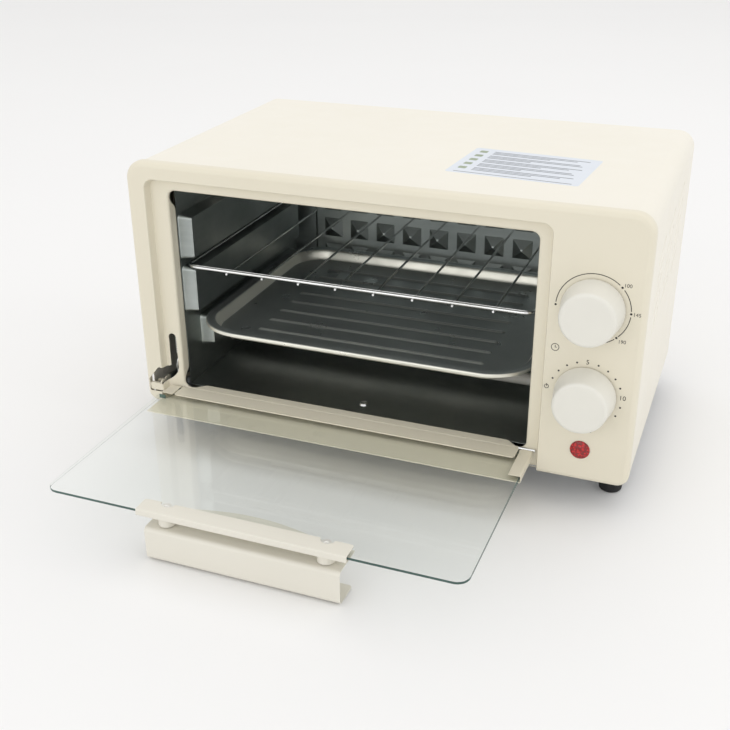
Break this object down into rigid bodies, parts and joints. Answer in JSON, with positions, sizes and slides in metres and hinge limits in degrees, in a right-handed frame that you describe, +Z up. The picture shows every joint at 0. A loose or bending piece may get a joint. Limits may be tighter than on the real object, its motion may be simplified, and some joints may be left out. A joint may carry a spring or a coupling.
{
  "type": "toaster oven",
  "caption": "Small toaster oven with a drop-down glass door standing open, sliding wire rack and tray, thermostat and timer knobs and a painted sheet-steel body.",
  "frame": {"origin": "centre of the bounding box's base, on the plane under the feet, with the door fully open", "axes": "+X along the front towards the knobs, -Y out of the oven mouth, +Z up"},
  "size_m": [0.35, 0.3692, 0.2025],
  "materials": {
    "cream_paint": "satin enamel",
    "zinc_steel": "zinc plated",
    "liner_steel": "aluminised, tarnished",
    "tray_coating": "baked grey coating",
    "chrome_wire": "bright",
    "quartz": "frosted",
    "ceramic": "unglazed ceramic",
    "door_glass": "clear toughened",
    "knob_plastic": "satin",
    "lens_red": "clear red",
    "black_rubber": "matte",
    "phenolic": "moulded"
  },
  "bodies": {
    "body": {"back_panel": "cream_paint", "back_screw_1": "chrome_wire", "back_screw_2": "chrome_wire", "back_screw_3": "chrome_wire", "back_screw_4": "chrome_wire", "base_plate": "zinc_steel", "cavity_back": "liner_steel", "cavity_floor": "liner_steel", "cavity_left_wall": "liner_steel", "cavity_right_wall": "liner_steel", "cavity_top": "liner_steel", "control_bracket": "zinc_steel", "cord_gland": "black_rubber", "door_spring": "chrome_wire", "floor_screw": "chrome_wire", "foot_front_left": "black_rubber", "foot_front_right": "black_rubber", "foot_rear_left": "black_rubber", "foot_rear_right": "black_rubber", "foot_screw_front_left": "zinc_steel", "foot_screw_front_right": "zinc_steel", "foot_screw_rear_left": "zinc_steel", "foot_screw_rear_right": "zinc_steel", "front_bezel": "cream_paint", "heater_holder_lower_left": "ceramic", "heater_holder_lower_right": "ceramic", "heater_holder_upper_left": "ceramic", "heater_holder_upper_right": "ceramic", "heater_lower_front": "quartz", "heater_lower_rear": "quartz", "heater_upper_front": "quartz", "heater_upper_rear": "quartz", "heater_wire": "black_rubber", "hinge_bracket_left": "cream_paint", "hinge_bracket_right": "cream_paint", "indicator_lens": "lens_red", "outer_cover": "cream_paint", "supply_wire": "black_rubber", "terminal_block": "ceramic", "thermostat_body": "phenolic", "timer_bell": "chrome_wire", "timer_body": "zinc_steel"},
    "door": {"door_glass": "door_glass", "door_rail": "cream_paint", "hinge_pin_left": "chrome_wire", "hinge_pin_right": "chrome_wire", "spring_lever": "zinc_steel", "handle_clamp": "cream_paint", "handle_bar": "cream_paint", "handle_spacer_left": "cream_paint", "handle_spacer_right": "cream_paint", "handle_screw_left": "chrome_wire", "handle_screw_right": "chrome_wire"},
    "rack": {"wire_rack": "chrome_wire"},
    "tray": {"baking_tray": "tray_coating"},
    "thermostat_dial": {"thermostat_knob": "knob_plastic", "thermostat_shaft": "zinc_steel"},
    "timer_dial": {"timer_knob": "knob_plastic", "timer_shaft": "zinc_steel"}
  },
  "joints": [
    {"name": "door_hinge", "type": "hinge", "parent": "body", "child": "door", "pos_m": [0, -0.03365, 0.03525], "axis": [-1, 0, 0], "range_deg": [0, 90], "deforming": ["door_spring"]},
    {"name": "rack_slide", "type": "slide", "parent": "body", "child": "rack", "axis": [0, 1, 0], "range_m": [-0.16, 0]},
    {"name": "tray_slide", "type": "slide", "parent": "body", "child": "tray", "axis": [0, 1, 0], "range_m": [-0.15, 0]},
    {"name": "thermostat_turn", "type": "hinge", "parent": "body", "child": "thermostat_dial", "pos_m": [0.1433, -0.0384, 0.1414], "axis": [0, 1, 0], "range_deg": [0, 245]},
    {"name": "timer_turn", "type": "hinge", "parent": "body", "child": "timer_dial", "pos_m": [0.1433, -0.0384, 0.0837], "axis": [0, 1, 0], "range_deg": [0, 255]}
  ]
}
